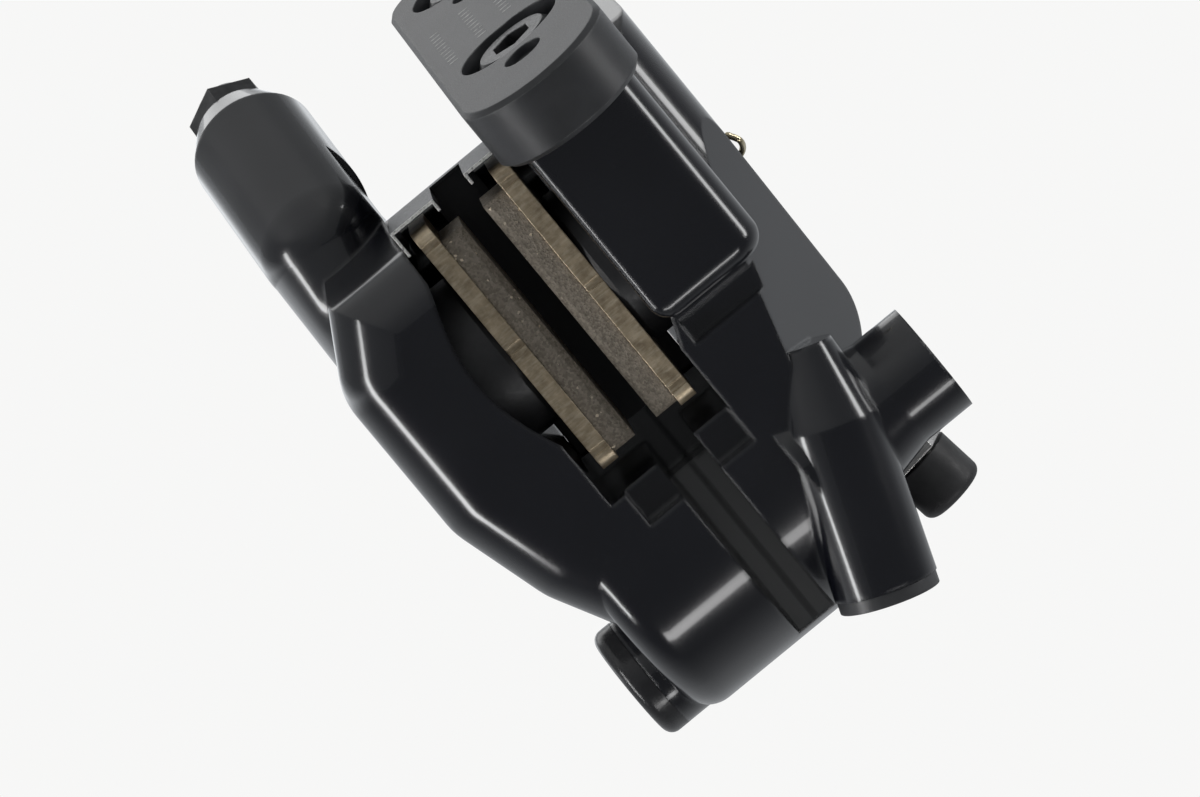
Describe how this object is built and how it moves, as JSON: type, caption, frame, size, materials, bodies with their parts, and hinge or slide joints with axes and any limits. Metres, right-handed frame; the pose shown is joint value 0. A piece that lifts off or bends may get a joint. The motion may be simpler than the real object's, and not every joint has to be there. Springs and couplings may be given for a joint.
{
  "type": "bicycle disc brake caliper",
  "caption": "Hydraulic flat-mount disc brake caliper on its adapter plate, with opposed pistons, pads, bleed port and hose port.",
  "frame": {"origin": "on the adapter plate's frame-side face, midway between its two frame holes", "axes": "+X along the chainstay away from the axle, +Y outboard, +Z away from the chainstay into the caliper"},
  "size_m": [0.0677, 0.0472, 0.0751],
  "materials": {
    "satin_black_metal": "satin black anodised, worn pale on its edges",
    "gloss_black_metal": "gloss black paint with fine dust and scratches",
    "dark_bolt_steel": "blackened steel",
    "piston_ceramic": "pale grey moulded, smooth",
    "seal_rubber": "matt black rubber",
    "pad_backing": "sheared steel edge with a pale bronze tint",
    "pad_lining": "granular grey-brown friction compound",
    "plain_steel": "turned steel",
    "clip_wire": "bright drawn wire",
    "black_spring_steel": "black coated sheet with bright sheared edges",
    "gloss_black_cap": "smooth black moulded cap",
    "black_plug": "satin black turned plug",
    "cap_rubber": "soft black rubber",
    "brass_olive": "turned brass"
  },
  "bodies": {
    "caliper": {"adapter_plate": "satin_black_metal", "inboard_body": "gloss_black_metal", "outboard_body": "gloss_black_metal", "caliper_bolts": "dark_bolt_steel", "bolt_washers": "dark_bolt_steel", "bolt_stopper_rings": "dark_bolt_steel", "lower_body_bolt": "dark_bolt_steel", "upper_body_bolt": "dark_bolt_steel", "inboard_piston_seal": "seal_rubber", "outboard_piston_seal": "seal_rubber", "crossover_seal": "seal_rubber", "pad_axle": "plain_steel", "pad_axle_clip": "clip_wire", "pad_spring": "black_spring_steel", "bridge_cap": "gloss_black_cap", "side_boss_plug": "dark_bolt_steel", "lower_boss_plug": "black_plug", "hose_sleeve_nut": "dark_bolt_steel", "hose_olive": "brass_olive"},
    "outboard_piston": {"outboard_piston": "piston_ceramic"},
    "inboard_piston": {"inboard_piston": "piston_ceramic"},
    "outboard_pad": {"outboard_pad_plate": "pad_backing", "outboard_pad_lining": "pad_lining"},
    "inboard_pad": {"inboard_pad_plate": "pad_backing", "inboard_pad_lining": "pad_lining"},
    "bleed_nipple": {"bleed_nipple": "plain_steel"},
    "bleed_cap": {"bleed_cap": "cap_rubber"}
  },
  "joints": [
    {"name": "outboard_piston_slide", "type": "slide", "parent": "caliper", "child": "outboard_piston", "axis": [0, -1, 0], "range_m": [-0.0009, 0.0011]},
    {"name": "inboard_piston_slide", "type": "slide", "parent": "caliper", "child": "inboard_piston", "axis": [0, 1, 0], "range_m": [-0.0009, 0.0011]},
    {"name": "outboard_pad_slide", "type": "slide", "parent": "caliper", "child": "outboard_pad", "axis": [0, -1, 0], "range_m": [-0.0009, 0.0011]},
    {"name": "inboard_pad_slide", "type": "slide", "parent": "caliper", "child": "inboard_pad", "axis": [0, 1, 0], "range_m": [-0.0009, 0.0011]},
    {"name": "bleed_nipple_turn", "type": "hinge", "parent": "caliper", "child": "bleed_nipple", "pos_m": [0.00651, 0.0029, 0.0497], "axis": [-0.189, 0.1392, 0.9721], "range_deg": [0, 90]},
    {"name": "bleed_cap_pull", "type": "slide", "parent": "bleed_nipple", "child": "bleed_cap", "axis": [-0.189, 0.1392, 0.9721], "range_m": [0, 0.008]}
  ],
  "couplings": [
    {"joint": "inboard_piston_slide", "follows": "outboard_piston_slide", "ratio": 1},
    {"joint": "outboard_pad_slide", "follows": "outboard_piston_slide", "ratio": 1},
    {"joint": "inboard_pad_slide", "follows": "outboard_piston_slide", "ratio": 1}
  ]
}
